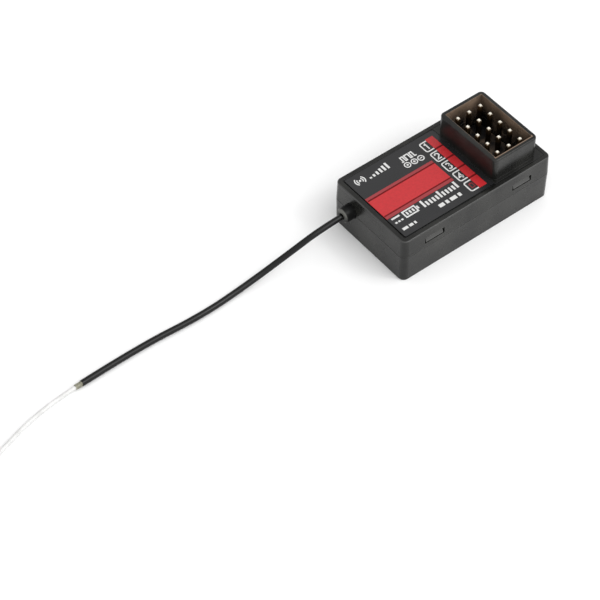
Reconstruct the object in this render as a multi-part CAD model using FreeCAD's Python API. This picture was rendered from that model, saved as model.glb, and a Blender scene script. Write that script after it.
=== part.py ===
import FreeCAD, Part
import math
import os

# RC receiver: a snap-together plastic case with a five-channel pin header and an aerial lead.
# Millimetres. Origin at the centre of the case's underside, +X towards the header, +Z up.

Vector = FreeCAD.Vector

# Case
case_length = 32.9
case_height = 9.55
upper_depth = 3.9
wall = 1.1
base_thickness = 1.1
roof_thickness = 1.2
corner_radius = 1.2
inner_corner_radius = 0.3
roof_draft = 0.15
base_draft = 0.08
roof_edge_round = 0.25
base_edge_round = 0.15
parting_bevel = 0.07

# Pin header and the open shroud round it
pin_pitch = 2.54
pin_rows = 3
channels = 5
header_offset = 0.35
header_end_margin = 2.2
pin_size = 0.64
pin_taper = 0.25
pin_tip_size = 0.42
pin_tail = 1.0
pin_reach = 5.9
strip_height = 2.5
strip_gap = 0.04
strip_chamfer = 0.5
shroud_wall = 0.8
shroud_height = 4.65
shroud_radius = 0.9
shroud_clearance = 0.09
shroud_front_gap = 0.4
shroud_rim_round = 0.3
skirt_wall = 0.5
skirt_overlap = 0.6
skirt_radius = 0.4
skirt_side_gap = 0.15

# Circuit board and the solder on the pins
board_thickness = 1.0
board_drop = 0.6
board_flange_gap = 0.4
board_end_gap = 0.35
board_side_gap = 0.2
board_corner = 0.6
pin_hole = 1.1
joint_radius = 0.85
joint_tip_radius = 0.55
joint_height = 0.7

# Board posts, pegs and press ribs
post_inset_left = 1.2
post_inset_right = 1.0
post_inset_side = 1.6
post_radius = 0.9
peg_radius = 0.5
peg_clearance = 0.1
peg_setback = 0.1
rib_thickness = 1.0
rib_bite = 0.7
rib_gap = 0.05
rib_wall_gap = 0.15

# Snap tongues and windows
snap_end_distance = 6.75
window_length = 4.3
window_lift = 0.9
window_height = 1.3
tongue_thickness = 0.7
tongue_wall_gap = 0.08
tongue_side_gap = 0.3
tongue_foot = 1.5
tongue_root_gap = 0.05
hook_setback = 0.1
hook_slope = 0.35
hook_under_gap = 0.2
hook_top_gap = 0.1
hook_nose = 0.2

# Label
rim_width = 0.9
recess_depth = 0.35
recess_corner = 0.4
label_gap = 0.3
label_far_gap = 0.05
label_corner = 0.25
label_thickness = 0.25
print_thickness = 0.05
panel_y = -0.25
panel_width = 5.8
panel_cell_gap = 2.3
cell_pitch = 2.9
cell_width = 2.7
cell_length = 1.6
cell_end_gap = 1.05
cells_offset = 0.3

# Aerial
outlet_side_distance = 4.7
outlet_lift = 0.25
outlet_radius = 1.4
outlet_reach = 2.0
outlet_clearance = 0.05
flange_radius = 1.9
flange_thickness = 0.5
flange_gap = 0.05
sleeve_bevel = 0.25
cable_diameter = 1.13
cable_clearance = 0.05
cable_board_overlap = 1.5
cable_straight_out = 5.55
braid_diameter = 0.95
braid_length = 1.3
tip_diameter = 0.68
tip_straight = 7.0
core_diameter = 0.3
tail_screen_length = 1.6
tail_core_length = 1.4
screen_joint_radius = 0.75
screen_joint_top_radius = 0.65
core_joint_radius = 0.6
core_joint_top_radius = 0.35
joint_cover = 0.15

# Where the lead turns on its way along the table, and then the white end
cable_turns = [
    (-29.5, 5.5, 3.0),
    (-38.0, 6.05, 0.6),
    (-47.5, 5.4, 0.6),
    (-59.5, 6.3, 0.6),
    (-71.1, 5.9, 0.6),
]
tip_turns = [
    (-91.0, 2.0, 0.4),
    (-102.4, -1.6, 0.4),
]

# Board parts: each place is the distance from the board's left edge, then from its middle line
radio_size = (4.0, 4.0, 0.9)
radio_place = (7.6, 3.4)
crystal_size = (3.2, 2.5, 0.8)
crystal_place = (7.6, -0.6)
crystal_base_height = 0.25
crystal_lid_radius = 0.3
controller_size = (4.4, 6.5, 0.95)
controller_place = (7.2, 0.0)
controller_lead_count = 10
controller_lead_pitch = 0.65
controller_lead_width = 0.25
regulator_size = (1.6, 2.9, 0.95)
regulator_place = (12.4, -2.0)
regulator_lead_pitch = 0.95
regulator_lead_width = 0.4
lead_thickness = 0.15
lead_span = 1.0
lead_foot = 0.5
chip_standoff = 0.1
chip_bevel = 0.15
tantalum_size = (3.2, 1.6, 1.5)
tantalum_places = [(8.1, -5.4), (12.0, -5.4)]
inductor_size = (2.5, 2.0, 1.2)
inductor_place = (3.6, -0.4)
inductor_foot_height = 0.3
inductor_drum_radius = 0.85
led_size = (1.6, 0.8, 0.6)
led_place = (3.5, -5.5)
led_base_height = 0.3
led_lens_length = 0.9
ceramic_size = (1.0, 0.5, 0.5)
ceramic_places = [(11.0, 5.0), (11.0, 3.9), (11.0, 2.8), (11.0, -0.4), (3.6, 1.9), (5.2, -3.2)]
resistor_size = (1.0, 0.5, 0.35)
resistor_places = [(11.0, 1.7), (11.0, 0.6), (11.0, -1.5), (7.6, -3.2), (12.7, 1.7), (12.7, -1.5)]
chip_end = 0.22
chip_waist = 0.03

# Sizes that follow from the ones above
pins_length = pin_pitch * pin_rows
pins_width = pin_pitch * channels
shroud_inner_length = pins_length + shroud_clearance + shroud_front_gap
shroud_inner_width = pins_width + 2 * shroud_clearance
shroud_length = shroud_inner_length + 2 * shroud_wall
shroud_width = shroud_inner_width + 2 * shroud_wall
tongue_depth = wall + tongue_wall_gap + tongue_thickness
half_length = case_length / 2
half_width = shroud_inner_width / 2 + skirt_wall + skirt_side_gap + tongue_depth + header_offset
inner_half_length = half_length - wall
inner_half_width = half_width - wall
parting_height = case_height - upper_depth
roof_underside = case_height - roof_thickness
shroud_x = half_length - header_end_margin - shroud_length / 2
header_x = shroud_x + (shroud_front_gap - shroud_clearance) / 2
header_y = -header_offset
board_top = parting_height - board_drop
board_underside = board_top - board_thickness
strip_top = board_top + strip_height
pin_top = strip_top + pin_reach
shroud_top = case_height + shroud_height
shroud_front_x = shroud_x - shroud_length / 2
skirt_bottom = strip_top - skirt_overlap
tongue_outer_y = inner_half_width - tongue_wall_gap
tongue_inner_y = half_width - tongue_depth
tongue_length = window_length - 2 * tongue_side_gap
window_bottom = parting_height + window_lift
window_top = window_bottom + window_height
snap_x = half_length - snap_end_distance
board_left = -inner_half_length + flange_gap + flange_thickness + board_flange_gap
board_right = inner_half_length - board_end_gap
board_half_width = tongue_inner_y - board_side_gap
post_left_x = board_left + post_inset_left
post_right_x = board_right - post_inset_right
post_y = board_half_width - post_inset_side
outlet_y = half_width - outlet_side_distance
outlet_height = parting_height + outlet_lift
sleeve_end_x = -half_length - outlet_reach
cable_start_x = board_left + cable_board_overlap
recess_left = -half_length + roof_draft + rim_width
recess_half_width = half_width - roof_draft - rim_width
recess_floor = case_height - recess_depth
label_left = recess_left + label_gap
label_right = shroud_front_x - label_far_gap
label_top = recess_floor + label_thickness
cell_end_x = label_right - cell_end_gap
cell_start_x = cell_end_x - cell_length
panel_end_x = cell_start_x - panel_cell_gap
up = Vector(0, 0, 1)


def block(x0, x1, y0, y1, z0, z1):
    """A box between two corners."""
    return Part.makeBox(x1 - x0, y1 - y0, z1 - z0, Vector(x0, y0, z0))


def polygon_face(points):
    """A flat face inside straight edges."""
    return Part.Face(Part.makePolygon(points + points[:1]))


def rounded_block(x0, x1, y0, y1, radius, z0, z1):
    """An upright block with round vertical corners."""
    c = radius * (1 - math.sqrt(0.5))
    corners = [
        ((x1 - radius, y0), (x1 - c, y0 + c), (x1, y0 + radius)),
        ((x1, y1 - radius), (x1 - c, y1 - c), (x1 - radius, y1)),
        ((x0 + radius, y1), (x0 + c, y1 - c), (x0, y1 - radius)),
        ((x0, y0 + radius), (x0 + c, y0 + c), (x0 + radius, y0)),
    ]
    edges = []
    for number, corner in enumerate(corners):
        start, middle, end = [Vector(x, y, z0) for x, y in corner]
        following = corners[(number + 1) % len(corners)][0]
        edges.append(Part.Arc(start, middle, end).toShape())
        edges.append(Part.LineSegment(end, Vector(following[0], following[1], z0)).toShape())
    return Part.Face(Part.Wire(edges)).extrude(up * (z1 - z0))


def stacked_solid(outlines):
    """A flat-sided solid through outlines that all have the same number of corners."""
    faces = [polygon_face(outlines[0]), polygon_face(outlines[-1])]
    for low, high in zip(outlines, outlines[1:]):
        for number in range(len(low)):
            following = (number + 1) % len(low)
            faces.append(polygon_face([low[number], low[following], high[following], high[number]]))
    return Part.Solid(Part.Shell(faces))


def rectangle(x, y, length, width, z):
    """The corners of a flat rectangle centred on a point."""
    h, w = length / 2, width / 2
    corners = [(x - h, y - w), (x + h, y - w), (x + h, y + w), (x - h, y + w)]
    return [Vector(px, py, z) for px, py in corners]


def octagon(x, y, across, z):
    """The corners of a flat octagon, given by its distance across the flats."""
    radius = across / 2 / math.cos(math.pi / 8)
    angles = [math.pi / 8 + number * math.pi / 4 for number in range(8)]
    return [Vector(x + radius * math.cos(a), y + radius * math.sin(a), z) for a in angles]


def edges_at(shape, z):
    """The edges that lie flat at one height."""
    level = []
    for edge in shape.Edges:
        box = edge.BoundBox
        if abs(box.ZMin - z) < 1e-6 and abs(box.ZMax - z) < 1e-6:
            level.append(edge)
    return level


def drafted_block(z_wide, z_narrow, draft):
    """The case's outline from the parting line to one end, drawn in evenly by the mould's draft."""
    reach_x = half_length - corner_radius
    reach_y = half_width - corner_radius
    along = []
    across = []
    for x, z in ((-1, z_wide), (1, z_wide), (1, z_narrow), (-1, z_narrow)):
        inset = draft if z == z_narrow else 0
        along.append(Vector(x * (half_length - inset), -reach_y, z))
        across.append(Vector(-reach_x, x * (half_width - inset), z))
    body = polygon_face(along).extrude(Vector(0, 2 * reach_y, 0))
    pieces = [polygon_face(across).extrude(Vector(2 * reach_x, 0, 0))]
    direction = up if z_narrow > z_wide else -up
    for x in (-reach_x, reach_x):
        for y in (-reach_y, reach_y):
            foot = Vector(x, y, z_wide)
            narrow = corner_radius - draft
            pieces.append(Part.makeCone(corner_radius, narrow, abs(z_narrow - z_wide), foot, direction))
    return body.fuse(pieces).removeSplitter()


def shell_body(z_end, draft, edge_round):
    """One half of the case, solid, with its outer edge round and a fine bevel at the parting line."""
    body = drafted_block(parting_height, z_end, draft)
    body = body.makeFillet(edge_round, edges_at(body, z_end))
    return body.makeChamfer(parting_bevel, edges_at(body, parting_height))


def cavity(z0, z1):
    """The inside of the case between two heights."""
    x, y = inner_half_length, inner_half_width
    return rounded_block(-x, x, -y, y, inner_corner_radius, z0, z1)


def outlet_bore():
    """The round opening for the aerial sleeve through the end wall."""
    start = Vector(-half_length - wall, outlet_y, outlet_height)
    return Part.makeCylinder(outlet_radius + outlet_clearance, 2.5 * wall, start, Vector(1, 0, 0))


def snap_places():
    """The middle of each snap along the case, with the side it is on."""
    return [(x, side) for x in (-snap_x, snap_x) for side in (-1, 1)]


def sided_block(x0, x1, side, y0, y1, z0, z1):
    """A block given by its distances from the middle plane, on one side of it."""
    low, high = sorted((side * y0, side * y1))
    return block(x0, x1, low, high, z0, z1)


def snap_tongue(x, side):
    """A springy tongue of the lower shell with a wedge hook that looks out of the window."""
    x0 = x - tongue_length / 2
    x1 = x + tongue_length / 2
    foot_z = base_thickness + tongue_foot
    root_y = inner_half_width + wall / 4
    root_top = parting_height - tongue_root_gap
    tip_z = window_top - hook_top_gap
    root = sided_block(x0, x1, side, tongue_inner_y, root_y, foot_z, root_top)
    blade = sided_block(x0, x1, side, tongue_inner_y, tongue_outer_y, foot_z, tip_z)
    hook_z = window_bottom + hook_under_gap
    inside_y = tongue_outer_y - tongue_thickness / 2
    nose_y = half_width - hook_setback
    wedge = [
        (inside_y, hook_z),
        (nose_y, hook_z),
        (nose_y, hook_z + hook_nose),
        (nose_y - hook_slope, tip_z),
        (inside_y, tip_z),
    ]
    profile = [Vector(x0, side * y, z) for y, z in wedge]
    hook = polygon_face(profile).extrude(Vector(tongue_length, 0, 0))
    return root.fuse([blade, hook])


def peg_places():
    """The two locating pegs stand on opposite corners."""
    return [(post_left_x, -post_y), (post_right_x, post_y)]


def board_posts():
    """Four posts that carry the board, with a locating peg on two of them."""
    foot_z = base_thickness / 2
    peg_top = board_top - peg_setback
    posts = []
    for x in (post_left_x, post_right_x):
        for y in (-post_y, post_y):
            posts.append(Part.makeCylinder(post_radius, board_underside - foot_z, Vector(x, y, foot_z)))
    for x, y in peg_places():
        posts.append(Part.makeCylinder(peg_radius, peg_top - foot_z, Vector(x, y, foot_z)))
    return posts


def lower_shell():
    """The tray: drafted walls, board posts and four snap tongues."""
    body = shell_body(0, base_draft, base_edge_round)
    body = body.cut(cavity(base_thickness, parting_height + wall))
    tongues = [snap_tongue(x, side) for x, side in snap_places()]
    body = body.fuse(board_posts() + tongues)
    return body.cut(outlet_bore()).removeSplitter()


def shroud_block(length, width, radius, z0, z1):
    """An upright round-cornered block centred on the shroud."""
    x0 = shroud_x - length / 2
    y0 = header_y - width / 2
    return rounded_block(x0, x0 + length, y0, y0 + width, radius, z0, z1)


def shroud():
    """The open socket wall round the pins, with a thinner skirt down to the pin strips."""
    outer = shroud_block(shroud_length, shroud_width, shroud_radius, roof_underside, shroud_top)
    outer = outer.makeFillet(shroud_rim_round, edges_at(outer, shroud_top))
    skirt_length = shroud_inner_length + 2 * skirt_wall
    skirt_width = shroud_inner_width + 2 * skirt_wall
    skirt_top = roof_underside + roof_thickness / 2
    skirt = shroud_block(skirt_length, skirt_width, skirt_radius, skirt_bottom, skirt_top)
    return outer.fuse(skirt)


def press_ribs():
    """Ribs under the roof at the end walls that hold the board down on its posts."""
    bottom = board_top + rib_gap
    top = roof_underside + roof_thickness / 2
    end_x = inner_half_length - rib_wall_gap
    beside_sleeve = outlet_y - flange_radius - rib_thickness
    ribs = []
    for x0, x1, y in (
        (-end_x, board_left + rib_bite, -post_y),
        (-end_x, board_left + rib_bite, beside_sleeve),
        (board_right - rib_bite, end_x, -post_y),
        (board_right - rib_bite, end_x, post_y),
    ):
        ribs.append(block(x0, x1, y - rib_thickness / 2, y + rib_thickness / 2, bottom, top))
    return ribs


def snap_window(x, side):
    """A slot through the upper wall for one hook."""
    x0 = x - window_length / 2
    x1 = x + window_length / 2
    return sided_block(x0, x1, side, tongue_outer_y, half_width + wall, window_bottom, window_top)


def label_recess():
    """The shallow pocket for the label, from the left rim to the shroud."""
    y = recess_half_width
    return rounded_block(recess_left, shroud_front_x, -y, y, recess_corner, recess_floor, case_height + wall)


def upper_shell():
    """The upper housing: drafted walls, label recess, header shroud and snap windows."""
    body = shell_body(case_height, roof_draft, roof_edge_round)
    body = body.cut(cavity(parting_height - wall, roof_underside))
    body = body.cut(label_recess())
    body = body.fuse([shroud()] + press_ribs())
    x0 = shroud_x - shroud_inner_length / 2
    y0 = header_y - shroud_inner_width / 2
    x1 = x0 + shroud_inner_length
    y1 = y0 + shroud_inner_width
    opening = block(x0, x1, y0, y1, skirt_bottom - wall, shroud_top + wall)
    windows = [snap_window(x, side) for x, side in snap_places()]
    body = body.cut([opening] + windows)
    return body.cut(outlet_bore()).removeSplitter()


def pin_places(rows):
    """The places of the pins in the named rows, row 0 being the one nearest the label."""
    places = []
    for row in rows:
        x = header_x + (row - (pin_rows - 1) / 2) * pin_pitch
        for channel in range(channels):
            places.append((x, header_y + (channel - (channels - 1) / 2) * pin_pitch))
    return places


def pin(x, y):
    """One square pin with a tapered tip and a tapered tail."""
    bottom = board_underside - pin_tail
    levels = [
        (pin_tip_size, bottom),
        (pin_size, bottom + pin_taper),
        (pin_size, pin_top - pin_taper),
        (pin_tip_size, pin_top),
    ]
    return stacked_solid([rectangle(x, y, size, size, z) for size, z in levels])


def pin_row(row):
    """The five pins of one row."""
    return Part.makeCompound([pin(x, y) for x, y in pin_places([row])])


def header_strip(row):
    """One moulded strip of five ways, with its corners cut back between the ways."""
    places = pin_places([row])
    x = places[0][0]
    h = (pin_pitch - strip_gap) / 2
    inset = h - strip_chamfer
    half = pin_pitch / 2
    right = []
    left = []
    for _, y in places:
        for reach, dy in ((inset, -half), (h, -half + strip_chamfer), (h, half - strip_chamfer)):
            right.append(Vector(x + reach, y + dy, board_top))
            left.append(Vector(x - reach, y + dy, board_top))
    end_y = header_y + pins_width / 2
    right.append(Vector(x + inset, end_y, board_top))
    left.append(Vector(x - inset, end_y, board_top))
    strip = polygon_face(right + left[::-1]).extrude(up * strip_height)
    holes = []
    for _, y in places:
        square = polygon_face(rectangle(x, y, pin_size, pin_size, board_top - wall))
        holes.append(square.extrude(up * (strip_height + 2 * wall)))
    return strip.cut(holes)


def header_joint(x, y):
    """The cone of solder between one pin's tail and the board."""
    low = octagon(x, y, 2 * joint_tip_radius, board_underside - joint_height)
    high = octagon(x, y, 2 * joint_radius, board_underside)
    return stacked_solid([low, high]).cut(pin(x, y))


def circuit_board():
    """The board, with a hole for each pin and each peg."""
    y = board_half_width
    board = rounded_block(board_left, board_right, -y, y, board_corner, board_underside, board_top)
    below = board_underside - board_thickness
    above = board_top + board_thickness
    holes = []
    for px, py in pin_places(range(pin_rows)):
        holes.append(stacked_solid([octagon(px, py, pin_hole, z) for z in (below, above)]))
    for px, py in peg_places():
        holes.append(Part.makeCylinder(peg_radius + peg_clearance, above - below, Vector(px, py, below)))
    return board.cut(holes)


def on_board(place):
    """A place on the board, from its distances to the left edge and the middle line."""
    return board_left + place[0], place[1]


def under_board(shape):
    """Moves a part from the board's upper face to its lower face."""
    return shape.mirror(Vector(0, 0, board_top - board_thickness / 2), up)


def board_block(place, length, width, z0, z1):
    """A box centred on a place, between two heights above the board."""
    x, y = place
    return block(x - length / 2, x + length / 2, y - width / 2, y + width / 2, board_top + z0, board_top + z1)


def chip_body(size, place, standoff):
    """A moulded body whose upper half is drawn in a little, as it leaves its mould."""
    length, width, height = size
    x, y = on_board(place)
    outlines = []
    for inset, z in ((0, standoff), (0, height / 2), (chip_bevel, height)):
        outlines.append(rectangle(x, y, length - 2 * inset, width - 2 * inset, board_top + z))
    return stacked_solid(outlines)


def gull_wing(x, y, side, width, exit_z):
    """One bent lead that leaves a body at x and stands on the board."""
    t = lead_thickness
    knee = x + side * (lead_span - lead_foot)
    end = x + side * lead_span
    profile = [
        (x, exit_z),
        (knee, exit_z),
        (knee, board_top),
        (end, board_top),
        (end, board_top + t),
        (knee + side * t, board_top + t),
        (knee + side * t, exit_z + t),
        (x, exit_z + t),
    ]
    return polygon_face([Vector(px, y - width / 2, pz) for px, pz in profile]).extrude(Vector(0, width, 0))


def chip_leads(size, place, pitch, width, rows):
    """The leads of a chip: for each long side, the places of its leads counted in pitches."""
    x, y = on_board(place)
    exit_z = board_top + size[2] / 2 - lead_thickness
    leads = []
    for side, numbers in rows:
        for number in numbers:
            leads.append(gull_wing(x + side * size[0] / 2, y + number * pitch, side, width, exit_z))
    return Part.makeCompound(leads)


def controller_leads():
    """Ten bent leads on each long side of the controller."""
    numbers = [number - (controller_lead_count - 1) / 2 for number in range(controller_lead_count)]
    rows = [(-1, numbers), (1, numbers)]
    pitch, width = controller_lead_pitch, controller_lead_width
    return chip_leads(controller_size, controller_place, pitch, width, rows)


def regulator_leads():
    """Three leads on one side of the regulator and two on the other."""
    rows = [(-1, (-1, 0, 1)), (1, (-1, 1))]
    pitch, width = regulator_lead_pitch, regulator_lead_width
    return chip_leads(regulator_size, regulator_place, pitch, width, rows)


def end_capped_chip(size, place):
    """A small part whose two plated ends stand a little proud of its middle."""
    length, width, height = size
    x, y = on_board(place)
    waist = board_block((x, y), length - 2 * chip_end, width - 2 * chip_waist, 0, height - chip_waist)
    end_x = (length - chip_end) / 2
    ends = [board_block((x + side * end_x, y), chip_end, width, 0, height) for side in (-1, 1)]
    return waist.fuse(ends)


def small_parts(size, places):
    """A set of equal small parts."""
    return Part.makeCompound([end_capped_chip(size, place) for place in places])


def crystal():
    """A flat metal can: a drawn lid on a wider base."""
    length, width, height = crystal_size
    x, y = on_board(crystal_place)
    base = board_block((x, y), length, width, 0, crystal_base_height)
    h = length / 2 - chip_bevel
    w = width / 2 - chip_bevel
    lid_z = board_top + crystal_base_height
    lid = rounded_block(x - h, x + h, y - w, y + w, crystal_lid_radius, lid_z, board_top + height)
    return base.fuse(lid)


def inductor():
    """A wound choke: a round drum on a square foot."""
    length, width, height = inductor_size
    x, y = on_board(inductor_place)
    foot = board_block((x, y), length, width, 0, inductor_foot_height)
    drum_foot = Vector(x, y, board_top + inductor_foot_height)
    return foot.fuse(Part.makeCylinder(inductor_drum_radius, height - inductor_foot_height, drum_foot))


def status_led():
    """A small indicator with a raised clear lens on its base."""
    length, width, height = led_size
    place = on_board(led_place)
    base = board_block(place, length, width, 0, led_base_height)
    return base.fuse(board_block(place, led_lens_length, width, led_base_height, height))


def antenna_sleeve():
    """The strain relief: a sleeve with a flange inside the end wall."""
    bore = cable_diameter / 2 + cable_clearance
    flange_out = -inner_half_length + flange_gap
    flange_in = flange_out + flange_thickness
    outline = [
        (sleeve_end_x, bore),
        (sleeve_end_x, outlet_radius - sleeve_bevel),
        (sleeve_end_x + sleeve_bevel, outlet_radius),
        (flange_out, outlet_radius),
        (flange_out, flange_radius),
        (flange_in, flange_radius),
        (flange_in, bore),
    ]
    face = polygon_face([Vector(x, outlet_y, outlet_height + radius) for x, radius in outline])
    return face.revolve(Vector(0, outlet_y, outlet_height), Vector(1, 0, 0), 360)


def antenna_tail():
    """The lead's stripped inner end: a bare screen, then the bare core."""
    start = Vector(cable_start_x, outlet_y, outlet_height)
    along = Vector(1, 0, 0)
    screen = Part.makeCylinder(braid_diameter / 2, tail_screen_length, start, along)
    core_length = tail_screen_length + tail_core_length
    return screen.fuse(Part.makeCylinder(core_diameter / 2, core_length, start, along))


def antenna_joints():
    """The two solder joints that hold the screen and the core to the board."""
    tail = antenna_tail()
    screen_x = cable_start_x + tail_screen_length / 2
    core_x = cable_start_x + tail_screen_length + tail_core_length
    joints = []
    for x, radius, top_radius, diameter in (
        (screen_x, screen_joint_radius, screen_joint_top_radius, braid_diameter),
        (core_x, core_joint_radius, core_joint_top_radius, core_diameter),
    ):
        top = outlet_height + diameter / 2 + joint_cover
        outlines = [octagon(x, outlet_y, 2 * radius, board_top), octagon(x, outlet_y, 2 * top_radius, top)]
        joints.append(stacked_solid(outlines).cut(tail))
    return Part.makeCompound(joints)


def tube_along(route, diameter, label):
    """A round cord along straight runs that tangent arcs join, with its length and radii printed."""
    edges = []
    radii = []
    start = route[0]
    for before, corner, after in zip(route, route[1:], route[2:]):
        inward = (corner - before).normalize()
        outward = (after - corner).normalize()
        turn = inward.getAngle(outward)
        shorter = min(before.distanceToPoint(corner), corner.distanceToPoint(after))
        reach = 0.45 * shorter
        radius = reach / math.tan(turn / 2)
        first = corner - inward * reach
        last = corner + outward * reach
        towards_centre = (outward - inward).normalize()
        middle = corner + towards_centre * (radius / math.cos(turn / 2) - radius)
        edges.append(Part.LineSegment(start, first).toShape())
        edges.append(Part.Arc(first, middle, last).toShape())
        radii.append(round(radius, 1))
        start = last
    edges.append(Part.LineSegment(start, route[-1]).toShape())
    path = Part.Wire(edges)
    direction = (route[1] - route[0]).normalize()
    circle = Part.Wire(Part.makeCircle(diameter / 2, route[0], direction))
    tube = path.makePipeShell([circle], True, True)
    expected = math.pi * (diameter / 2) ** 2 * path.Length
    print(label, "length", round(path.Length, 2), "radii", radii)
    print(label, "volume over section times length", round(tube.Volume / expected, 5))
    return tube


def cable_route():
    """The lead's corners, from its stripped inner end to the start of the bare screen."""
    start = Vector(cable_start_x, outlet_y, outlet_height)
    outside = Vector(-half_length - cable_straight_out, outlet_y, outlet_height)
    return [start, outside] + [Vector(*turn) for turn in cable_turns]


def braid_ends():
    """Where the bare screen begins and ends, in line with the lead's last run, and its direction."""
    before, last = cable_route()[-2:]
    along = (last - before).normalize()
    return last, last + along * braid_length, along


def antenna_cable():
    """The black coaxial lead."""
    return tube_along(cable_route(), cable_diameter, "antenna_cable")


def antenna_braid():
    """The short stretch of bare screen before the white end."""
    start, _, along = braid_ends()
    return Part.makeCylinder(braid_diameter / 2, braid_length, start, along)


def antenna_tip():
    """The white insulated end, which is the active length of the aerial."""
    _, start, along = braid_ends()
    route = [start, start + along * tip_straight] + [Vector(*turn) for turn in tip_turns]
    return tube_along(route, tip_diameter, "antenna_tip")


def label_sheet():
    """The black label, which lies in the recess."""
    near = -recess_half_width + label_gap
    far = recess_half_width - label_far_gap
    return rounded_block(label_left, label_right, near, far, label_corner, recess_floor, label_top)


def label_panel():
    """The long red field on the label."""
    low, high = panel_y - panel_width / 2, panel_y + panel_width / 2
    return block(label_left, panel_end_x, low, high, label_top, label_top + print_thickness)


def label_cells():
    """One red field for each channel, beside the shroud."""
    cells = []
    for channel in range(channels):
        y = header_y + cells_offset + (channel - (channels - 1) / 2) * cell_pitch
        low, high = y - cell_width / 2, y + cell_width / 2
        cells.append(block(cell_start_x, cell_end_x, low, high, label_top, label_top + print_thickness))
    return Part.makeCompound(cells)


nodes = {
    "upper_shell": upper_shell(),
    "lower_shell": lower_shell(),
    "label_sheet": label_sheet(),
    "label_panel": label_panel(),
    "label_cells": label_cells(),
    "header_strips": Part.makeCompound([header_strip(row) for row in range(pin_rows)]),
    "signal_pins": pin_row(0),
    "power_pins": pin_row(1),
    "ground_pins": pin_row(2),
    "header_joints": Part.makeCompound([header_joint(x, y) for x, y in pin_places(range(pin_rows))]),
    "circuit_board": circuit_board(),
    "radio_chip": chip_body(radio_size, radio_place, 0),
    "controller_chip": under_board(chip_body(controller_size, controller_place, chip_standoff)),
    "controller_leads": under_board(controller_leads()),
    "crystal": crystal(),
    "regulator": under_board(chip_body(regulator_size, regulator_place, chip_standoff)),
    "regulator_leads": under_board(regulator_leads()),
    "power_capacitors": Part.makeCompound([chip_body(tantalum_size, place, 0) for place in tantalum_places]),
    "ceramic_capacitors": small_parts(ceramic_size, ceramic_places),
    "resistors": small_parts(resistor_size, resistor_places),
    "inductor": inductor(),
    "status_led": status_led(),
    "antenna_sleeve": antenna_sleeve(),
    "antenna_tail": antenna_tail(),
    "antenna_joints": antenna_joints(),
    "antenna_cable": antenna_cable(),
    "antenna_braid": antenna_braid(),
    "antenna_tip": antenna_tip(),
}

os.makedirs("parts", exist_ok=True)
for name, shape in nodes.items():
    if not shape.isValid():
        print("not valid:", name)
    shape.exportStep("parts/" + name + ".step")
    print(name, len(shape.Solids), "solids", round(shape.Volume, 2), "mm3")
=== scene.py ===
import math

import bpy
from mathutils import Matrix, Vector


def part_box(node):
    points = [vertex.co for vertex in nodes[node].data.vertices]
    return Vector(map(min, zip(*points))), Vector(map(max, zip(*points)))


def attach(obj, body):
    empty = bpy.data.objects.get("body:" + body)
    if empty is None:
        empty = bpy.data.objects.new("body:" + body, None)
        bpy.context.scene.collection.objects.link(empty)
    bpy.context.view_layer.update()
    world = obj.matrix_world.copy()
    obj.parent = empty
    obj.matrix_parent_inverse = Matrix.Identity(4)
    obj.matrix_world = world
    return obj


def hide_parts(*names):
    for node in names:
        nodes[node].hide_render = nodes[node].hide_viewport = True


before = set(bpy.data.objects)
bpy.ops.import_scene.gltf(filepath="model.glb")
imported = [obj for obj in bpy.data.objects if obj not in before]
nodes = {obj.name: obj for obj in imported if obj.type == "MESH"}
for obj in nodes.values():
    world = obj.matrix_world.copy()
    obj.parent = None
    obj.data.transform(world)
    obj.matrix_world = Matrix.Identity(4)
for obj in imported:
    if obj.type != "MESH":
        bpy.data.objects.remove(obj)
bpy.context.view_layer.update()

# Looks for the RC receiver. Lengths are in millimetres and MM turns them into metres;
# a name that ends in _M is in metres already.
MM = 0.001
scene = bpy.context.scene

# Places on the label, from the solids that carry the print
LABEL_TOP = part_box("label_sheet")[1].z / MM
PRINT_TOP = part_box("label_panel")[1].z / MM
PANEL_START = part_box("label_panel")[0].x / MM
PANEL_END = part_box("label_panel")[1].x / MM
PANEL_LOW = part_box("label_panel")[0].y / MM
PANEL_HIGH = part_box("label_panel")[1].y / MM
CELL_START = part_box("label_cells")[0].x / MM
CELL_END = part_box("label_cells")[1].x / MM
CELL_MIDDLE_Y = (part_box("label_cells")[0].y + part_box("label_cells")[1].y) / 2 / MM
CELL_PITCH = 2.9
CHANNELS = 5
FRAME_SHIFT = 0.05
INK = 0.02
THIN_INK = 0.01

# The header socket and the rim round the roof: the middle and half size along X and along Y
SOCKET = ((9.395, 4.055), (-0.35, 6.44))
RIM = ((0.0, 15.4), (0.0, 8.27))
SOCKET_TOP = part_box("upper_shell")[1].z / MM
CASE_TOP = 9.55
PIN_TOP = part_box("signal_pins")[1].z / MM

# The aerial: black lead, bare screen and white end
CABLE_ROUTE = [
    (-12.9, 4.62, 5.9),
    (-22.0, 4.62, 5.9),
    (-29.5, 5.5, 3.0),
    (-38.0, 6.05, 0.6),
    (-47.5, 5.4, 0.6),
    (-59.5, 6.3, 0.6),
    (-71.1, 5.9, 0.6),
]
CABLE_DIAMETER = 1.13
SCREEN_LENGTH = 1.3
TIP_DIAMETER = 0.68
TIP_STRAIGHT = 7.0
TIP_TURNS = [(-91.0, 2.0, 0.4), (-102.4, -1.6, 0.4)]

# The bare screen's wires, ten each way, and the insulation under them
WIRES = 10
WIRE_RADIUS = 0.05
WEAVE_RADIUS = 0.40
WEAVE_DEPTH = 0.03
WEAVE_TURNS = 0.55
WEAVE_STEPS = 18
CORE_RADIUS = 0.36

# The camera: its place, its angles in degrees and its lens
CAMERA_PLACE = (-173.66, -183.46, 273.18)
CAMERA_AZIMUTH = -37.8625
CAMERA_ELEVATION = 49.8675
CAMERA_ROLL = -0.28
CAMERA_LENS = 128.51
SENSOR_WIDTH = 36

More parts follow.
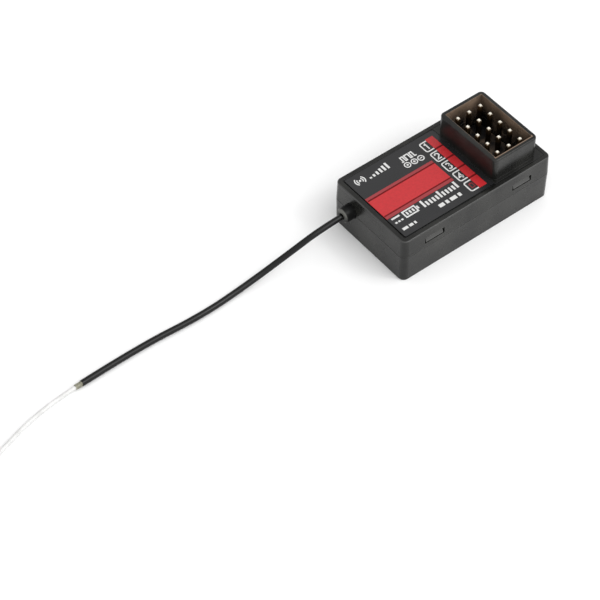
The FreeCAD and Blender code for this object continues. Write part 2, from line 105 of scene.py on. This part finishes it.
# Depths of bumps and radii of softened edges
GRAIN_DEPTH_M = 0.00002
FILM_DEPTH_M = 0.00001
GROOVE_DEPTH_M = 0.00006
SOFT_EDGE_M = 0.00008
# The radius for finding the edges that get a painted highlight
SHINE_EDGE_M = 0.00014
EDGE_SAMPLES = 6

FLOOR_HALF_M = 3
FLOOR_DROP_M = 0.00002

# The case's smoky black: its colour, gloss and cloudiness
SMOKE = (0.007, 0.007, 0.0062)
CASE_ROUGHNESS = 0.25
CASE_LOOK = {"grain_strength": 0.08, "level": 0.338, "cloudy": (0.0, 2.7)}


# ---------------------------------------------------------------- nodes of a material

SHADER = "Principled BSDF"


def new_material(name):
    material = bpy.data.materials.new(name)
    material.use_nodes = True
    return material, material.node_tree


def feed(tree, name, value):
    """Links a value into one of the shader's sockets."""
    tree.links.new(value, tree.nodes[SHADER].inputs[name])


def fix(tree, name, value):
    """Sets a constant on one of the shader's sockets."""
    tree.nodes[SHADER].inputs[name].default_value = value


def source(tree, name):
    """What feeds one of the shader's sockets so far."""
    return tree.nodes[SHADER].inputs[name].links[0].from_socket


def node(tree, kind, **inputs):
    made = tree.nodes.new(kind)
    for name, value in inputs.items():
        made.inputs[name.replace("_", " ")].default_value = value
    return made


def noise(tree, scale, detail=3.0, roughness=0.5, stretch=None):
    coords = tree.nodes.new("ShaderNodeTexCoord")
    made = node(tree, "ShaderNodeTexNoise", Scale=scale, Detail=detail, Roughness=roughness)
    place = coords.outputs["Object"]
    if stretch:
        mapping = node(tree, "ShaderNodeMapping", Scale=stretch)
        tree.links.new(place, mapping.inputs["Vector"])
        place = mapping.outputs["Vector"]
    tree.links.new(place, made.inputs["Vector"])
    return made.outputs["Fac"]


def ramp(tree, value, low, high, start=0.3, end=0.7):
    """A colour that goes from low to high as the value goes from start to end."""
    made = tree.nodes.new("ShaderNodeValToRGB")
    stops = made.color_ramp.elements
    for stop, position, colour in ((stops[0], start, low), (stops[1], end, high)):
        stop.position = position
        stop.color = (*colour, 1)
    tree.links.new(value, made.inputs["Fac"])
    return made.outputs["Color"]


def spread(tree, value, low, high, start=0.3, end=0.7):
    """A number that goes from low to high as the value goes from start to end."""
    made = node(tree, "ShaderNodeMapRange", From_Min=start, From_Max=end, To_Min=low, To_Max=high)
    tree.links.new(value, made.inputs["Value"])
    return made.outputs["Result"]


def rise(tree, value, start, end, low=0, high=1):
    """A number that goes from low to high between two places in millimetres."""
    return spread(tree, value, low, high, start * MM, end * MM)


def bump(tree, height, strength, distance, below=None):
    made = node(tree, "ShaderNodeBump", Strength=strength, Distance=distance)
    tree.links.new(height, made.inputs["Height"])
    if below:
        tree.links.new(below, made.inputs["Normal"])
    return made.outputs["Normal"]


def soft_edges(tree, radius):
    made = node(tree, "ShaderNodeBevel", Radius=radius)
    made.samples = EDGE_SAMPLES
    return made.outputs["Normal"]


def math_node(tree, operation, *values):
    made = tree.nodes.new("ShaderNodeMath")
    made.operation = operation
    for socket, value in zip(made.inputs, values):
        if isinstance(value, (int, float)):
            socket.default_value = value
        else:
            tree.links.new(value, socket)
    return made.outputs["Value"]


def product(tree, *factors):
    result = factors[0]
    for factor in factors[1:]:
        result = math_node(tree, "MULTIPLY", result, factor)
    return result


def band(tree, value, low, high, soft):
    """One between two places in millimetres and zero outside them."""
    return product(
        tree, rise(tree, value, low - soft, low), rise(tree, value, high, high + soft, 1, 0)
    )


def blend_colour(tree, factor, under, over):
    """A colour that goes from one to the other as the factor goes from 0 to 1."""
    made = tree.nodes.new("ShaderNodeMix")
    made.data_type = "RGBA"
    tree.links.new(factor, made.inputs[0])
    for socket, value in ((made.inputs[6], under), (made.inputs[7], over)):
        if isinstance(value, tuple):
            socket.default_value = (*value, 1)
        else:
            tree.links.new(value, socket)
    return made.outputs[2]


def scale_colour(colour, factor):
    return tuple(min(1.0, c * factor) for c in colour)


def object_place(tree):
    """The place of a point on the object, as its X, Y and Z outputs."""
    coords = tree.nodes.new("ShaderNodeTexCoord")
    place = tree.nodes.new("ShaderNodeSeparateXYZ")
    tree.links.new(coords.outputs["Object"], place.inputs["Vector"])
    return place.outputs


def outside_rectangle(tree, place, sides):
    """How far a point lies outside an upright rectangle, given by its middles and half sizes."""
    reach = []
    for axis, (middle, half) in zip("XY", sides):
        away = math_node(tree, "SUBTRACT", place[axis], middle * MM)
        reach.append(math_node(tree, "SUBTRACT", math_node(tree, "ABSOLUTE", away), half * MM))
    return math_node(tree, "MAXIMUM", *reach)


def edge_shine_mask(tree, radius):
    """How much a point lies on an edge, where the plastic gets a paler painted highlight."""
    flat = tree.nodes.new("ShaderNodeNewGeometry")
    along = tree.nodes.new("ShaderNodeVectorMath")
    along.operation = "DOT_PRODUCT"
    tree.links.new(soft_edges(tree, radius), along.inputs[0])
    tree.links.new(flat.outputs["True Normal"], along.inputs[1])
    return spread(tree, along.outputs["Value"], 1, 0, 0.80, 0.985)


# ---------------------------------------------------------------- kinds of material

def moulded(name, colour, rough, grain=5200, grain_strength=0.25, edge=SOFT_EDGE_M,
            level=0.5, cloudy=(0.85, 1.18)):
    """Moulded plastic: a fine spark-eroded grain, cloudy gloss and softened edges."""
    material, tree = new_material(name)
    dark, pale = (scale_colour(colour, share) for share in cloudy)
    feed(tree, "Base Color", ramp(tree, noise(tree, 160, 4), dark, pale))
    smear = noise(tree, 420, 5, 0.65)
    feed(tree, "Roughness", spread(tree, smear, rough - 0.05, rough + 0.06))
    fine = noise(tree, grain, 2, 0.6)
    rounded = soft_edges(tree, edge) if edge else None
    feed(tree, "Normal", bump(tree, fine, grain_strength, GRAIN_DEPTH_M, rounded))
    fix(tree, "Specular IOR Level", level)
    return material


def metal(name, colour, rough, scratch=2400, scratch_strength=0.12):
    """Plated or drawn metal with fine lengthwise scratches."""
    material, tree = new_material(name)
    dark, pale = scale_colour(colour, 0.86), scale_colour(colour, 1.08)
    feed(tree, "Base Color", ramp(tree, noise(tree, 900, 4), dark, pale))
    smear = noise(tree, 1500, 4, 0.6)
    feed(tree, "Roughness", spread(tree, smear, rough - 0.06, rough + 0.08))
    fine = noise(tree, scratch, 3, 0.6, (3, 3, 0.3))
    feed(tree, "Normal", bump(tree, fine, scratch_strength, FILM_DEPTH_M))
    fix(tree, "Metallic", 1)
    return material


def ink(name, colour, rough, level=0.5):
    """Screen-printed ink: a slight film texture with pinholes in its colour."""
    material, tree = new_material(name)
    film = noise(tree, 2600, 4, 0.7)
    dark, pale = scale_colour(colour, 0.86), scale_colour(colour, 1.06)
    feed(tree, "Base Color", ramp(tree, film, dark, pale, 0.25, 0.6))
    feed(tree, "Roughness", spread(tree, noise(tree, 700, 3), rough - 0.06, rough + 0.08))
    feed(tree, "Normal", bump(tree, film, 0.12, FILM_DEPTH_M))
    fix(tree, "Specular IOR Level", level)
    return material


# ---------------------------------------------------------------- single materials

def tray_material():
    """The case's plastic, with painted highlights on its edges and on the hooks in the windows."""
    material = moulded("tray_plastic", SMOKE, CASE_ROUGHNESS, **CASE_LOOK)
    tree = material.node_tree
    place = object_place(tree)
    side = math_node(tree, "ABSOLUTE", place["Y"])
    # Painted highlight on the hooks in the windows
    hook_highlight = product(tree, band(tree, place["Z"], 6.8, 8.0, 0.1), band(tree, side, 8.8, 9.4, 0.05))
    edge_shine = edge_shine_mask(tree, SHINE_EDGE_M)
    with_edge_shine = blend_colour(tree, edge_shine, source(tree, "Base Color"), (0.06, 0.06, 0.058))
    feed(tree, "Base Color", blend_colour(tree, hook_highlight, with_edge_shine, (0.055, 0.055, 0.053)))
    return material


def socket_glow(tree, place, outside):
    """How much painted brown glow a point of the socket's inner walls gets, for light that comes
    through them.
    """
    height = place["Z"]
    within = rise(tree, outside, 0.02, 0.06, 1, 0)
    depth = rise(tree, height, SOCKET_TOP - 4.2, SOCKET_TOP)
    spots = spread(tree, noise(tree, 300, 4, 0.6), 0, 0.7, 0.47, 0.62)
    patches = product(tree, spots, rise(tree, height, SOCKET_TOP - 6.6, SOCKET_TOP - 5.0))
    lit_through = math_node(tree, "MAXIMUM", depth, patches)
    cloud = spread(tree, noise(tree, 380, 4), 0.6, 1.3)
    return product(tree, within, lit_through, cloud)


def case_material():
    """Smoky black plastic, with a painted brown glow where light comes through the thin socket
    walls.
    """
    material = moulded("case_plastic", SMOKE, CASE_ROUGHNESS, **CASE_LOOK)
    tree = material.node_tree
    place = object_place(tree)
    height = place["Z"]
    outside = outside_rectangle(tree, place, SOCKET)

    # Painted highlights on the edges, apart from the inner corner at the socket's foot
    foot = band(tree, height, CASE_TOP - 0.1, CASE_TOP + 0.3, 0.02)
    edge_shine = product(tree, edge_shine_mask(tree, SHINE_EDGE_M), math_node(tree, "SUBTRACT", 1.0, foot))
    with_edge_shine = blend_colour(tree, edge_shine, source(tree, "Base Color"), (0.075, 0.075, 0.073))
    # A painted highlight band just below the roof's top, along its rounded outer edge
    shoulder_highlight = band(tree, height, CASE_TOP - 0.20, CASE_TOP - 0.05, 0.05)
    paler = blend_colour(tree, shoulder_highlight, with_edge_shine, (0.045, 0.045, 0.044))

    # Painted brown glow on the socket's inner walls, and a painted highlight on the inner edge of
    # its near wall
    glow = socket_glow(tree, place, outside)
    brown = blend_colour(tree, glow, paler, (0.20, 0.142, 0.100))
    # Painted highlight along the inner edge of the near wall's rim
    rim = rise(tree, height, SOCKET_TOP - 0.02, SOCKET_TOP - 0.01)
    near = rise(tree, place["Y"], -6.7, -6.4, 1, 0)
    edge = product(tree, rim, near, rise(tree, outside, 0.10, 0.22, 1, 0))
    lit = blend_colour(tree, edge, brown, (0.22, 0.150, 0.105))

    # Painted shade along the groove between the roof's rim and the walls, with a bump for its edges
    top = band(tree, height, CASE_TOP - 0.02, CASE_TOP + 0.1, 0.01)
    line = product(
        tree, top, band(tree, outside_rectangle(tree, place, RIM), -0.08, 0.04, 0.05)
    )
    feed(tree, "Base Color", blend_colour(tree, line, lit, (0.0005, 0.0005, 0.0005)))
    sunk = math_node(tree, "SUBTRACT", 1.0, line)
    feed(tree, "Normal", bump(tree, sunk, 1.0, GROOVE_DEPTH_M, source(tree, "Normal")))

    # The socket's wall beside the label is a little duller than the rest
    wall = product(
        tree, band(tree, place["X"], 4.4, 4.8, 0.05),
        rise(tree, height, CASE_TOP, CASE_TOP + 0.1, 0, 0.08),
    )
    feed(tree, "Roughness", math_node(tree, "ADD", source(tree, "Roughness"), wall))
    return material


def header_material():
    """Black header plastic with a painted brown glow in patches between the pins."""
    material = moulded("header_plastic", (0.008, 0.007, 0.007), 0.4, edge=None)
    tree = material.node_tree
    pin_glow = spread(tree, noise(tree, 330, 4, 0.6), 0, 1, 0.50, 0.70)
    plain = source(tree, "Base Color")
    feed(tree, "Base Color", blend_colour(tree, pin_glow, plain, (0.12, 0.085, 0.058)))
    return material


def sleeve_material():
    """Black rubber, with a patchy painted highlight on the upper side of its outer end."""
    material = moulded(
        "sleeve_rubber", (0.004, 0.004, 0.004), 0.40, grain=3800, grain_strength=0.3, level=0.2
    )
    tree = material.node_tree
    place = object_place(tree)
    end = band(tree, place["X"], -18.6, -18.3, 0.15)
    upper = rise(tree, place["Z"], 5.8, 6.8, 0.1, 1)
    end_highlight = product(tree, end, upper, spread(tree, noise(tree, 900, 4), 0.4, 1.2))
    plain = source(tree, "Base Color")
    feed(tree, "Base Color", blend_colour(tree, end_highlight, plain, (0.12, 0.12, 0.11)))
    return material


def pin_material():
    """Gold plating, with painted shade down in the socket, warmer below the tips and a painted
    highlight on them.
    """
    material = metal("gold_plating", (0.09, 0.06, 0.035), 0.34, scratch_strength=0.03)
    tree = material.node_tree
    height = object_place(tree)["Z"]
    # The colour goes from painted shade to warmer gold below the tips, and to a painted highlight
    # on the tips
    tip = rise(tree, height, PIN_TOP - 0.24, PIN_TOP - 0.06)
    neck = rise(tree, height, PIN_TOP - 1.5, PIN_TOP - 0.3)
    warm = blend_colour(tree, neck, source(tree, "Base Color"), (0.42, 0.28, 0.14))
    feed(tree, "Base Color", blend_colour(tree, tip, warm, (1.0, 0.96, 0.86)))
    duller = product(tree, tip, 0.25)
    feed(tree, "Roughness", math_node(tree, "ADD", source(tree, "Roughness"), duller))
    return material


def board_material():
    """Solder-masked board: deep green with faint copper runs under the mask."""
    material, tree = new_material("solder_mask")
    coords = tree.nodes.new("ShaderNodeTexCoord")
    runs = node(
        tree, "ShaderNodeTexBrick", Scale=700, Mortar_Size=0.03,
        Color1=(0.010, 0.075, 0.030, 1), Color2=(0.014, 0.105, 0.040, 1),
        Mortar=(0.006, 0.045, 0.018, 1),
    )
    tree.links.new(coords.outputs["Object"], runs.inputs["Vector"])
    feed(tree, "Base Color", runs.outputs["Color"])
    feed(tree, "Roughness", spread(tree, noise(tree, 500, 4), 0.24, 0.38))
    feed(tree, "Normal", bump(tree, runs.outputs["Fac"], 0.2, GRAIN_DEPTH_M))
    return material


def lens_material():
    """The indicator's clear lens over its pale chip."""
    material, tree = new_material("led_lens")
    pale, paler = (0.75, 0.72, 0.62), (0.9, 0.88, 0.8)
    feed(tree, "Base Color", ramp(tree, noise(tree, 900, 3), pale, paler))
    feed(tree, "Roughness", spread(tree, noise(tree, 1200, 3), 0.12, 0.25))
    fix(tree, "Transmission Weight", 0.35)
    return material


def tip_material():
    """The white end: a milky fluoropolymer sleeve, a little translucent."""
    material, tree = new_material("tip_insulation")
    milk, pale_milk = (0.57, 0.57, 0.56), (0.70, 0.70, 0.69)
    feed(tree, "Base Color", ramp(tree, noise(tree, 700, 4), milk, pale_milk))
    feed(tree, "Roughness", spread(tree, noise(tree, 1300, 4), 0.28, 0.42))
    feed(tree, "Normal", bump(tree, noise(tree, 2500, 3), 0.12, FILM_DEPTH_M))
    fix(tree, "Subsurface Weight", 0.25)
    fix(tree, "Subsurface Radius", (0.0006, 0.0006, 0.0006))
    fix(tree, "Subsurface Scale", 1)
    return material


red_ink = ink("red_ink", (0.46, 0.015, 0.020), 0.36)
pale_red_ink = ink("pale_red_ink", (0.28, 0.026, 0.032), 0.42)
dark_red_ink = ink("dark_red_ink", (0.13, 0.004, 0.005), 0.5, 0.15)
sign_red_ink = ink("sign_red_ink", (0.22, 0.02, 0.024), 0.45)
white_ink = ink("white_ink", (0.62, 0.62, 0.61), 0.5)
solder = metal("solder", (0.62, 0.62, 0.64), 0.36, 1600, 0.3)
tinned = metal("tinned_lead", (0.70, 0.70, 0.72), 0.32)
can_metal = metal("can_metal", (0.78, 0.77, 0.74), 0.3)
screen_wire = metal("screen_wire", (0.42, 0.41, 0.33), 0.42, 3000, 0.2)
chip_plastic = moulded("chip_plastic", (0.02, 0.02, 0.021), 0.55, grain=9000, edge=None)
tantalum = moulded("tantalum", (0.55, 0.30, 0.04), 0.5, edge=None)
ceramic = moulded("ceramic", (0.42, 0.30, 0.20), 0.5, edge=None)
resistor_black = moulded("resistor_black", (0.03, 0.03, 0.035), 0.4, edge=None)
ferrite = moulded("ferrite", (0.05, 0.05, 0.052), 0.7, edge=None)
label_vinyl = moulded(
    "label_vinyl", (0.012, 0.012, 0.013), 0.30, grain=7000, grain_strength=0.08, edge=None
)
jacket = moulded(
    "cable_jacket", (0.003, 0.003, 0.003), 0.20, grain=2600, grain_strength=0.14, edge=None,
    level=0.27,
)


def set_material(material, *names):
    """Gives solids one material in all their slots."""
    for name in names:
        slots = nodes[name].data.materials
        if len(slots) == 0:
            slots.append(material)
        for number in range(len(slots)):
            slots[number] = material


set_material(case_material(), "upper_shell")
set_material(tray_material(), "lower_shell")
set_material(label_vinyl, "label_sheet")
set_material(red_ink, "label_panel", "label_cells")
set_material(header_material(), "header_strips")
set_material(pin_material(), "signal_pins", "power_pins", "ground_pins")
set_material(solder, "header_joints", "antenna_joints")
set_material(board_material(), "circuit_board")
set_material(chip_plastic, "radio_chip", "controller_chip", "regulator")
set_material(tinned, "controller_leads", "regulator_leads")
set_material(can_metal, "crystal")
set_material(tantalum, "power_capacitors")
set_material(ceramic, "ceramic_capacitors")
set_material(resistor_black, "resistors")
set_material(ferrite, "inductor")
set_material(lens_material(), "status_led")
set_material(sleeve_material(), "antenna_sleeve")
set_material(screen_wire, "antenna_tail")


# ---------------------------------------------------------------- pieces

def new_object(name, data):
    made = bpy.data.objects.new(name, data)
    scene.collection.objects.link(made)
    return made


def finish_piece(piece, material):
    piece.data.materials.append(material)
    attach(piece, "root")
    return piece


def round_curve(name, radius, facets):
    """An empty curve with a round section and closed ends."""
    data = bpy.data.curves.new(name, "CURVE")
    data.dimensions = "3D"
    data.bevel_depth = radius * MM
    data.bevel_resolution = facets
    data.use_fill_caps = True
    return data


def cord_curve(name, points, diameter, material):
    """A smooth cord through the same route as the solid's."""
    data = round_curve(name, diameter / 2, 5)
    data.resolution_u = 16
    spline = data.splines.new("NURBS")
    spline.points.add(len(points) - 1)
    for place, point in zip(spline.points, points):
        place.co = (*[c * MM for c in point], 1)
    spline.order_u = 3
    spline.use_endpoint_u = True
    return finish_piece(new_object(name, data), material)


def mesh_piece(name, data, material):
    """Turns a curve into a mesh piece."""
    curve = new_object(name + "_source", data)
    bpy.context.view_layer.update()
    evaluated = curve.evaluated_get(bpy.context.evaluated_depsgraph_get())
    mesh = bpy.data.meshes.new_from_object(evaluated)
    bpy.data.objects.remove(curve)
    mesh.materials.clear()
    return finish_piece(new_object(name, mesh), material)


def woven_screen(start, along, length):
    """The bare screen: fine wires woven both ways round the lead's inner insulation."""
    side = along.cross(Vector((0, 0, 1))).normalized()
    over = side.cross(along)
    data = round_curve("screen_strands", WIRE_RADIUS, 1)
    for way in (-1, 1):
        for wire in range(WIRES):
            spline = data.splines.new("POLY")
            spline.points.add(WEAVE_STEPS)
            for step, point in enumerate(spline.points):
                share = step / WEAVE_STEPS
                angle = 2 * math.pi * (wire / WIRES + way * WEAVE_TURNS * share)
                wave = math.cos(WIRES * angle / 2 + math.pi * wire)
                radius = WEAVE_RADIUS + way * WEAVE_DEPTH * wave
                outward = side * math.cos(angle) + over * math.sin(angle)
                place = start + along * (length * share) + outward * radius
                point.co = (*(place * MM), 1)
    core = data.splines.new("POLY")
    core.points.add(1)
    for point, reach in zip(core.points, (-0.1, length + 0.02)):
        point.co = (*((start + along * reach) * MM), 1)
        point.radius = CORE_RADIUS / WIRE_RADIUS
    return mesh_piece("woven_screen", data, screen_wire)


def build_cords():
    """The lead and the white end as two cords, with the bare screen between them."""
    last, before = Vector(CABLE_ROUTE[-1]), Vector(CABLE_ROUTE[-2])
    along = (last - before).normalized()
    tip_start = last + along * SCREEN_LENGTH
    tip_route = [tip_start, tip_start + along * TIP_STRAIGHT, *TIP_TURNS]
    cable = cord_curve("antenna_lead", CABLE_ROUTE, CABLE_DIAMETER, jacket)
    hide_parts("antenna_cable")
    tip = cord_curve("antenna_end", tip_route, TIP_DIAMETER, tip_material())
    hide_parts("antenna_tip")
    screen = woven_screen(last, along, SCREEN_LENGTH)
    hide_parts("antenna_braid")


# ---------------------------------------------------------------- flat prints

def add_prism(vertices, faces, loop, low, high):
    """A closed prism over one loop of points."""
    first, count = len(vertices), len(loop)
    vertices += [(x * MM, y * MM, z * MM) for z in (low, high) for x, y in loop]
    faces.append([first + k for k in reversed(range(count))])
    faces.append([first + count + k for k in range(count)])
    for k in range(count):
        following = (k + 1) % count
        faces.append([first + k, first + following, first + count + following, first + count + k])


def add_band(vertices, faces, band_sides, low, high):
    """A closed strip between a left and a right line of points, or a ring where it meets itself."""
    left, right, closed = band_sides
    first, count = len(vertices), len(left)
    for near, far in zip(right, left):
        for (x, y), z in ((near, low), (near, high), (far, high), (far, low)):
            vertices.append((x * MM, y * MM, z * MM))
    for k in range(count if closed else count - 1):
        here, there = first + 4 * k, first + 4 * ((k + 1) % count)
        for side in range(4):
            after = (side + 1) % 4
            faces.append([here + side, there + side, there + after, here + after])
    if not closed:
        faces.append([first + side for side in range(4)])
        faces.append([first + 4 * (count - 1) + side for side in reversed(range(4))])


def flat_piece(name, shapes, z, material, thickness=INK):
    """A thin print at one height: each shape is a list of points, or the sides from stroke."""
    vertices, faces = [], []
    for shape in shapes:
        add = add_band if isinstance(shape, tuple) else add_prism
        add(vertices, faces, shape, z, z + thickness)
    mesh = bpy.data.meshes.new(name)
    mesh.from_pydata(vertices, [], faces)
    mesh.update()
    return finish_piece(new_object(name, mesh), material)


def white_print(name, shapes):
    """White print on the label."""
    return flat_piece(name, shapes, LABEL_TOP, white_ink)


def stroke(points, width, closed=False):
    """A line of even width: its mitred left and right sides, and whether it closes."""
    count = len(points)
    left, right = [], []
    for k in range(count):
        here = Vector(points[k])
        ahead = Vector(points[(k + 1) % count]) - here if closed or k < count - 1 else None
        behind = here - Vector(points[k - 1]) if closed or k > 0 else None
        ahead = (ahead or behind).normalized()
        behind = (behind or ahead).normalized()
        way = (ahead + behind).normalized()
        side = Vector((-way.y, way.x)) * (width / 2 / max(0.5, way.dot(ahead)))
        left.append(tuple(here + side))
        right.append(tuple(here - side))
    return left, right, closed


def arc(x, y, radius, start, end, steps=10):
    angles = [math.radians(start + (end - start) * k / steps) for k in range(steps + 1)]
    return [(x + radius * math.cos(a), y + radius * math.sin(a)) for a in angles]


def ring(x, y, radius, width, steps=24):
    return stroke(arc(x, y, radius, 0, 360, steps)[:-1], width, closed=True)


def bar(x0, x1, y0, y1):
    return [(x0, y0), (x1, y0), (x1, y1), (x0, y1)]


def bars(spans, y0, y1):
    """Bars side by side between two heights."""
    return [bar(x0, x1, y0, y1) for x0, x1 in spans]


def dot(x, y, radius, steps=14):
    return arc(x, y, radius, 0, 360, steps)[:-1]


# ---------------------------------------------------------------- print on the label

def channel_y(channel):
    """The middle of one channel's frame beside its red field."""
    return CELL_MIDDLE_Y + (2 - channel) * CELL_PITCH - FRAME_SHIFT


def channel_frame(y):
    """A frame that is open towards its red field."""
    low, high, left, corner = y - 1.10, y + 1.10, 0.26, 0.34
    path = [(CELL_START - 0.04, high), (left + corner, high)]
    path += arc(left + corner, high - corner, corner, 90, 180, 5)[1:]
    path += arc(left + corner, low + corner, corner, 180, 270, 5)
    path += [(CELL_START - 0.04, low)]
    return stroke(path, 0.245)


def battery_sign(y):
    case = [(0.85, y - 0.5), (1.5, y - 0.5), (1.5, y + 0.4), (0.85, y + 0.4)]
    return [stroke(case, 0.16, closed=True), bar(1.05, 1.3, y + 0.48, y + 0.62)]


def digit_paths():
    """The lines of the plain numbers 1 to 4, about their middles."""
    one = [(-0.26, 0.40), (0.04, 0.68), (0.04, -0.70)]
    two = arc(0, 0.30, 0.37, 165, -35, 10) + [(-0.36, -0.58), (0.42, -0.58)]
    three = arc(-0.02, 0.33, 0.31, 150, -75, 9) + arc(-0.02, -0.29, 0.36, 75, -150, 10)
    four = [(0.20, -0.70), (0.20, 0.58), (-0.40, -0.26), (0.48, -0.26)]
    return [one, two, three, four]


def channel_frames():
    """Five open frames, with the numbers 1 to 4 in four and a battery in the last."""
    frames = [channel_frame(channel_y(channel)) for channel in range(CHANNELS)]
    white_print("channel_frames", frames)
    battery = battery_sign(channel_y(CHANNELS - 1))
    flat_piece("battery_sign", battery, LABEL_TOP, sign_red_ink)
    digits = []
    for channel, path in enumerate(digit_paths()):
        middle_x, middle_y = 1.10, channel_y(channel)
        digits.append(stroke([(middle_x + dx, middle_y + dy) for dx, dy in path], 0.27))
    white_print("channel_numbers", digits)


def radio_sign():
    """Waves on both sides of a dot, and six bars of rising strength."""
    x, y = -13.0, 6.5
    shapes = [dot(x, y, 0.22)]
    for radius in (0.55, 0.95):
        for start in (-50, 130):
            shapes.append(stroke(arc(x, y, radius, start, start + 100, 8), 0.22))
    for step in range(6):
        x = -11.3 + 0.78 * step
        shapes.append(bar(x, x + 0.42, 5.75, 6.1 + 0.22 * step))
    return shapes


def pulse_sign():
    """Three square pulses, the middle one wider."""
    low, high, gap, x = 5.35, 6.45, 0.35, -4.7
    path = [(x, low)]
    for width in (0.5, 0.75, 0.5):
        start, end = x + gap, x + gap + width
        path += [(start, low), (start, high), (end, high), (end, low)]
        x += gap + width
    path.append((x + 0.4, low))
    return [stroke(path, 0.24)]


def polarity_signs():
    """Three rings with a dot, a plus and a minus."""
    shapes = [ring(x, y, 0.55, 0.2) for x, y in ((-4.3, 4.4), (-2.85, 4.33), (-1.45, 4.26))]
    shapes.append(dot(-4.3, 4.4, 0.2))
    shapes.append(bar(-3.12, -2.58, 4.24, 4.42))
    shapes += [bar(-2.94, -2.76, 4.42, 4.60), bar(-2.94, -2.76, 4.06, 4.24)]
    shapes.append(bar(-1.72, -1.18, 4.17, 4.35))
    return shapes


def supply_sign():
    """A solid line over a dashed one, a battery with three cells, and a scale."""
    shapes = [bar(-14.5, -12.8, -3.8, -3.46)]
    shapes += [bar(x, x + 0.42, -4.84, -4.5) for x in (-14.5, -13.86, -13.22)]
    case = [(-12.1, -4.78), (-9.6, -4.78), (-9.6, -3.44), (-12.1, -3.44)]
    shapes.append(stroke(case, 0.28, closed=True))
    shapes.append(bar(-9.40, -9.06, -4.45, -3.77))
    shapes += [bar(x, x + 0.34, -4.45, -3.77) for x in (-11.66, -11.02, -10.38)]
    for mark in range(11):
        x = -8.3 + 0.72 * mark
        shapes.append(bar(x, x + 0.40, -4.92, -3.3 if mark % 5 == 0 else -3.9))
    return shapes


def small_marks():
    """Two rows of plain dashes."""
    left = bars(((-14.4, -13.3), (-13.0, -12.2), (-11.9, -11.5)), -6.75, -6.2)
    right = bars(((-6.3, -5.2), (-4.8, -4.2), (-3.8, -2.5), (-2.1, -1.5)), -6.6, -5.85)
    return left + right


def label_signs():
    """Plain signs on the black of the label."""
    white_print("radio_sign", radio_sign())
    white_print("pulse_sign", pulse_sign())
    white_print("polarity_signs", polarity_signs())
    white_print("supply_sign", supply_sign())
    white_print("small_marks", small_marks())


def red_print(name, shapes, material):
    """Thin print on the red fields."""
    return flat_piece(name, shapes, PRINT_TOP, material, THIN_INK)


def red_lines():
    """Thin darker lines and paler strips along the red panel, and lines between the red fields."""
    lines = [
        bar(PANEL_START + 0.1, PANEL_END, y, y + 0.28)
        for y in (PANEL_HIGH - 0.85, PANEL_LOW + 0.6)
    ]
    red_print("panel_lines", lines, dark_red_ink)
    strip_start, strip_end = PANEL_START + 0.03, PANEL_END - 0.03
    strips = [
        bar(strip_start, strip_end, PANEL_HIGH - 0.61, PANEL_HIGH - 0.03),
        bar(strip_start, strip_end, PANEL_LOW + 0.03, PANEL_LOW + 0.6),
    ]
    red_print("panel_strips", strips, pale_red_ink)
    gaps = []
    for number in range(CHANNELS - 1):
        y = CELL_MIDDLE_Y + (number - 1.5) * CELL_PITCH
        gaps.append(bar(CELL_START + 0.02, CELL_END - 0.02, y - 0.17, y + 0.17))
    red_print("field_lines", gaps, dark_red_ink)


# ---------------------------------------------------------------- camera, floor and light

def place_camera():
    azimuth, elevation = math.radians(CAMERA_AZIMUTH), math.radians(CAMERA_ELEVATION)
    roll = math.radians(CAMERA_ROLL)
    level = math.cos(elevation)
    back = Vector((math.sin(azimuth) * level, -math.cos(azimuth) * level, math.sin(elevation)))
    right = Vector((math.cos(azimuth), math.sin(azimuth), 0))
    up = back.cross(right)
    across = right * math.cos(roll) + up * math.sin(roll)
    upward = up * math.cos(roll) - right * math.sin(roll)
    data = bpy.data.cameras.new("camera")
    data.lens = CAMERA_LENS
    data.sensor_width = SENSOR_WIDTH
    data.clip_start = 0.01
    data.clip_end = 20
    camera = new_object("camera", data)
    turn = Matrix((across, upward, back)).transposed()
    camera.matrix_world = Matrix.Translation(Vector(CAMERA_PLACE) * MM) @ turn.to_4x4()
    scene.camera = camera


def build_floor():
    mesh = bpy.data.meshes.new("floor")
    half = FLOOR_HALF_M
    corners = [(-half, -half, 0), (half, -half, 0), (half, half, 0), (-half, half, 0)]
    mesh.from_pydata(corners, [], [[0, 1, 2, 3]])
    floor = new_object("floor", mesh)
    material, tree = new_material("floor")
    pale, paler = (0.90, 0.90, 0.90), (0.92, 0.92, 0.92)
    feed(tree, "Base Color", ramp(tree, noise(tree, 3, 2), pale, paler))
    fix(tree, "Roughness", 0.9)
    fix(tree, "Specular IOR Level", 0.2)
    mesh.materials.append(material)
    floor.location = (0, 0, -FLOOR_DROP_M)


def area_light(name, place, size, power):
    """A square light in metres and watts that shines at the object."""
    data = bpy.data.lights.new(name, "AREA")
    data.shape = "RECTANGLE"
    data.size = data.size_y = size
    data.energy = power
    light = new_object(name, data)
    light.location = place
    light.rotation_euler = (-Vector(place)).to_track_quat("-Z", "Y").to_euler()


def build_light():
    """A white studio, brighter on the viewer's side, with a soft key and a small edge light."""
    world = bpy.data.worlds.new("studio")
    world.use_nodes = True
    tree = world.node_tree
    background = tree.nodes["Background"]
    background.inputs["Color"].default_value = (1, 1, 1, 1)
    coords = tree.nodes.new("ShaderNodeTexCoord")
    split = tree.nodes.new("ShaderNodeSeparateXYZ")
    tree.links.new(coords.outputs["Generated"], split.inputs["Vector"])
    strength = spread(tree, split.outputs["Y"], 1.35, 0.62, -1, 1)
    tree.links.new(strength, background.inputs["Strength"])
    scene.world = world
    area_light("key", (0.30, -0.55, 0.85), 0.8, 4)
    area_light("edge_light", (0.38, -0.50, 0.75), 0.14, 0.7)
    scene.view_settings.view_transform = "Standard"


place_camera()
build_cords()
channel_frames()
label_signs()
red_lines()
build_floor()
build_light()
